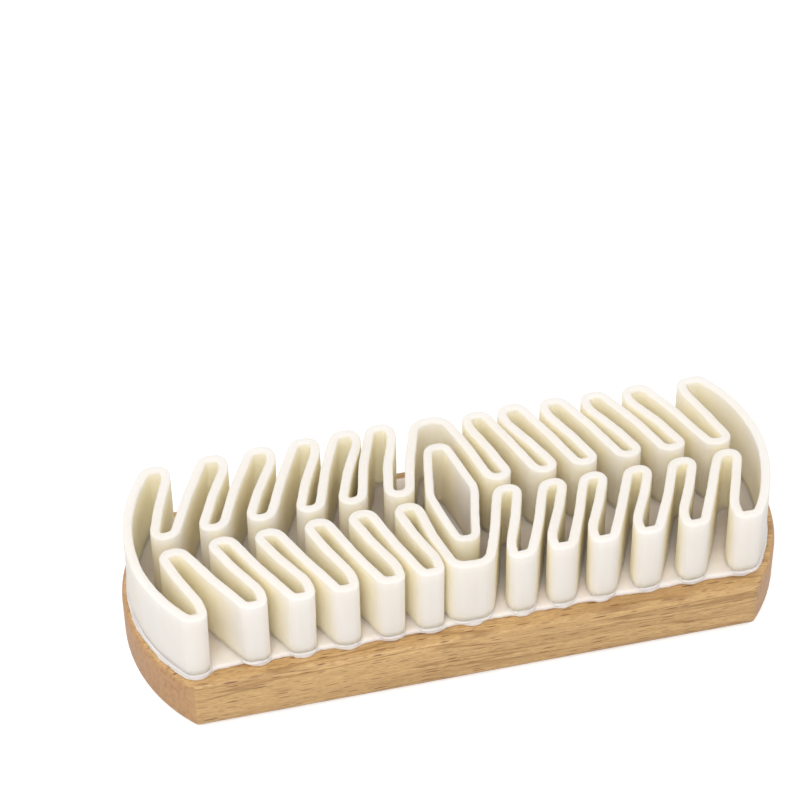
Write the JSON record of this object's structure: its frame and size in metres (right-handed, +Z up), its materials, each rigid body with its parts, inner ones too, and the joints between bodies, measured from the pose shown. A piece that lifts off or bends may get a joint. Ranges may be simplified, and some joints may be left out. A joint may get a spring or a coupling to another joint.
{
  "type": "suede brush",
  "caption": "Hand brush for suede: an endless strip of crepe rubber folded to and fro round a diamond loop, on a wooden back with bowed ends.",
  "frame": {"origin": "middle of the resting face of the wooden back, at its lowest point", "axes": "+X along the length of the brush, +Y across it, +Z up from the resting face through the wood to the tips of the rubber"},
  "size_m": [0.125, 0.046, 0.027],
  "materials": {
    "beech": "smooth lacquered beech with fine grain along the length and short dark flecks",
    "latex": "dried latex cement, smooth, slightly glossy, uneven at its edge",
    "crepe": "matte cream crepe rubber with fine upright marks"
  },
  "bodies": {
    "root": {"wooden_back": "beech", "latex_bed": "latex", "outer_strip": "crepe", "centre_loop": "crepe"}
  },
  "joints": []
}
